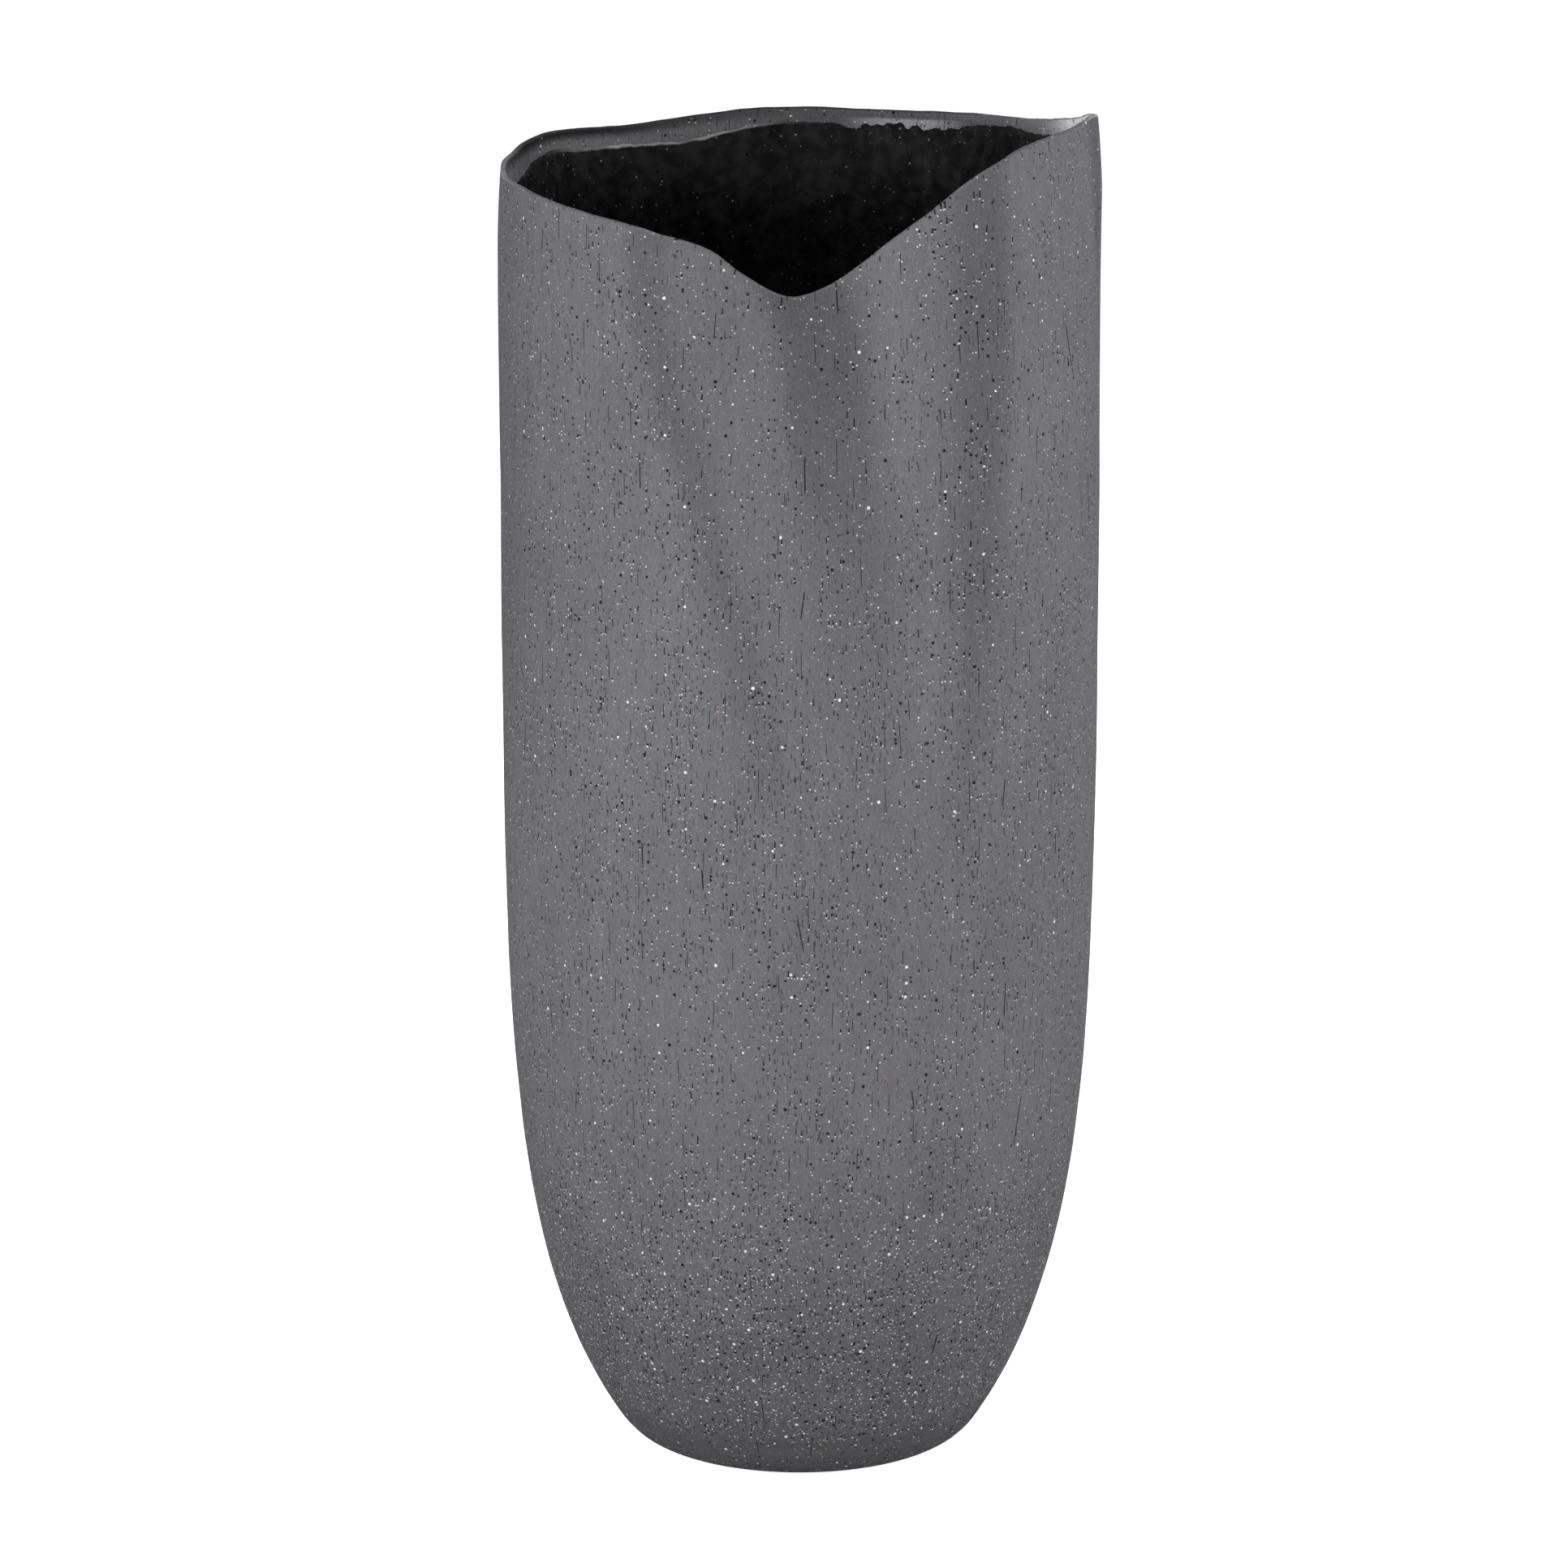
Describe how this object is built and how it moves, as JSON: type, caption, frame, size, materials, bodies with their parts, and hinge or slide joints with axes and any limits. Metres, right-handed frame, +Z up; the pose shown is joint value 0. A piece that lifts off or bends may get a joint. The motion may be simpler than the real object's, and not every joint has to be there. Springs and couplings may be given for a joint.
{
  "type": "tall stoneware vase",
  "caption": "Tall hand-built stoneware vase with a round tapered foot, a pressed-in front, a wavy notched rim and a black glaze lining.",
  "frame": {"origin": "centre of the flat underside, on the surface that the vase stands on", "axes": "+Z up along the vase, the pressed-in front with its notch faces -Y, the pinched corner of the mouth points to +X"},
  "size_m": [0.1992, 0.1989, 0.4522],
  "materials": {
    "wall": "matte dark grey stoneware with white grog specks and dragged pits",
    "base_slab": "matte dark grey stoneware, sponged smooth",
    "seam_coil": "matte dark grey stoneware",
    "interior_glaze": "glossy black glaze with small lumps"
  },
  "bodies": {
    "root": {"wall": "wall", "base_slab": "base_slab", "seam_coil": "seam_coil", "interior_glaze": "interior_glaze"}
  },
  "joints": []
}
